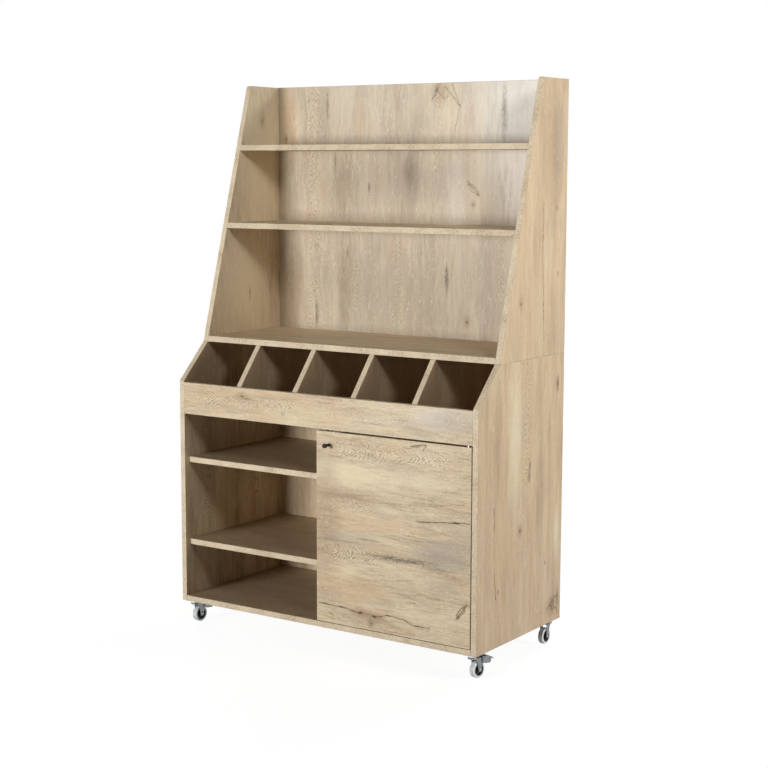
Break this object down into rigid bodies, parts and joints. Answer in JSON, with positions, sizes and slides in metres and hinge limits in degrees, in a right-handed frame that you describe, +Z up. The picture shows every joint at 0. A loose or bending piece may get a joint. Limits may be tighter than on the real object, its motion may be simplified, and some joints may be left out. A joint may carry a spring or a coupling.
{
  "type": "condiment station cabinet",
  "caption": "Oak-look self-service cabinet on swivel casters: hutch with shelves and a worktop over sloped open bins, open shelves and a hinged door.",
  "frame": {"origin": "on the floor under the casters, at the centre of the overall box", "axes": "+Z up, -Y to the front with the door and the bins, +X to the right seen from the front"},
  "size_m": [1.1, 0.533, 1.72],
  "materials": {
    "board_upright": "matt oak-look facing, grain upright",
    "board_flat": "matt oak-look facing, grain level",
    "beech": "plain",
    "zinc": "bright zinc plating",
    "black_plastic": "satin black",
    "white_plastic": "moulded",
    "hub_plastic": "moulded, satin",
    "tread": "pale grey, non-marking"
  },
  "bodies": {
    "cabinet": {"base_side_left": "board_upright", "base_side_right": "board_upright", "bottom_board": "board_flat", "bin_floor": "board_flat", "front_board": "board_flat", "base_back_panel": "board_upright", "partition": "board_upright", "bin_divider_1": "board_flat", "bin_divider_2": "board_flat", "bin_divider_3": "board_flat", "bin_divider_4": "board_flat", "open_shelf_upper": "board_flat", "open_shelf_lower": "board_flat", "cupboard_shelf": "board_flat", "hutch_side_left": "board_upright", "hutch_side_right": "board_upright", "worktop": "board_flat", "hutch_shelf_upper": "board_flat", "hutch_shelf_lower": "board_flat", "hutch_back_panel": "board_upright", "hutch_brackets": "zinc", "magnetic_catch": "white_plastic", "pivot_pin_bottom": "zinc", "pivot_pin_top": "zinc", "cam_locks": "zinc", "cam_bolts": "zinc", "dowels": "beech", "shelf_pins": "zinc", "back_panel_screws": "zinc", "small_screws": "zinc", "caster_screws": "zinc", "caster_plate_fl": "zinc", "caster_plate_fr": "zinc", "caster_plate_rl": "zinc", "caster_plate_rr": "zinc"},
    "door": {"door": "board_flat", "strike_plate": "zinc", "door_knob": "black_plastic", "pivot_bushes": "white_plastic", "strike_screw": "zinc", "knob_screw": "zinc"},
    "fork_fl": {"fork_fl": "zinc", "axle_fl": "zinc"},
    "wheel_fl": {"wheel_hub_fl": "hub_plastic", "tyre_fl": "tread"},
    "pedal_fl": {"brake_pedal_fl": "zinc"},
    "fork_fr": {"fork_fr": "zinc", "axle_fr": "zinc"},
    "wheel_fr": {"wheel_hub_fr": "hub_plastic", "tyre_fr": "tread"},
    "pedal_fr": {"brake_pedal_fr": "zinc"},
    "fork_rl": {"fork_rl": "zinc", "axle_rl": "zinc"},
    "wheel_rl": {"wheel_hub_rl": "hub_plastic", "tyre_rl": "tread"},
    "fork_rr": {"fork_rr": "zinc", "axle_rr": "zinc"},
    "wheel_rr": {"wheel_hub_rr": "hub_plastic", "tyre_rr": "tread"}
  },
  "joints": [
    {"name": "door_hinge", "type": "hinge", "parent": "cabinet", "child": "door", "pos_m": [0.51405, -0.2295, 0.093], "axis": [0, 0, 1], "range_deg": [0, 120]},
    {"name": "swivel_fl", "type": "hinge", "parent": "cabinet", "child": "fork_fl", "pos_m": [-0.522, -0.2105, 0.06], "axis": [0, 0, 1], "continuous": true},
    {"name": "wheel_spin_fl", "type": "hinge", "parent": "fork_fl", "child": "wheel_fl", "pos_m": [-0.51991, -0.19061, 0.025], "axis": [-0.9945, 0.1045, 0], "continuous": true},
    {"name": "brake_fl", "type": "hinge", "parent": "fork_fl", "child": "pedal_fl", "pos_m": [-0.51871, -0.17917, 0.0515], "axis": [-0.9945, 0.1045, 0], "range_deg": [0, 9]},
    {"name": "swivel_fr", "type": "hinge", "parent": "cabinet", "child": "fork_fr", "pos_m": [0.522, -0.2105, 0.06], "axis": [0, 0, 1], "continuous": true},
    {"name": "wheel_spin_fr", "type": "hinge", "parent": "fork_fr", "child": "wheel_fr", "pos_m": [0.52547, -0.1908, 0.025], "axis": [-0.9848, 0.1736, 0], "continuous": true},
    {"name": "brake_fr", "type": "hinge", "parent": "fork_fr", "child": "pedal_fr", "pos_m": [0.52747, -0.17948, 0.0515], "axis": [-0.9848, 0.1736, 0], "range_deg": [0, 9]},
    {"name": "swivel_rl", "type": "hinge", "parent": "cabinet", "child": "fork_rl", "pos_m": [-0.522, 0.2385, 0.06], "axis": [0, 0, 1], "continuous": true},
    {"name": "wheel_spin_rl", "type": "hinge", "parent": "fork_rl", "child": "wheel_rl", "pos_m": [-0.51922, 0.2187, 0.025], "axis": [0.9903, 0.1392, 0], "continuous": true},
    {"name": "swivel_rr", "type": "hinge", "parent": "cabinet", "child": "fork_rr", "pos_m": [0.522, 0.2385, 0.06], "axis": [0, 0, 1], "continuous": true},
    {"name": "wheel_spin_rr", "type": "hinge", "parent": "fork_rr", "child": "wheel_rr", "pos_m": [0.52165, 0.2185, 0.025], "axis": [0.9998, -0.0175, 0], "continuous": true}
  ]
}
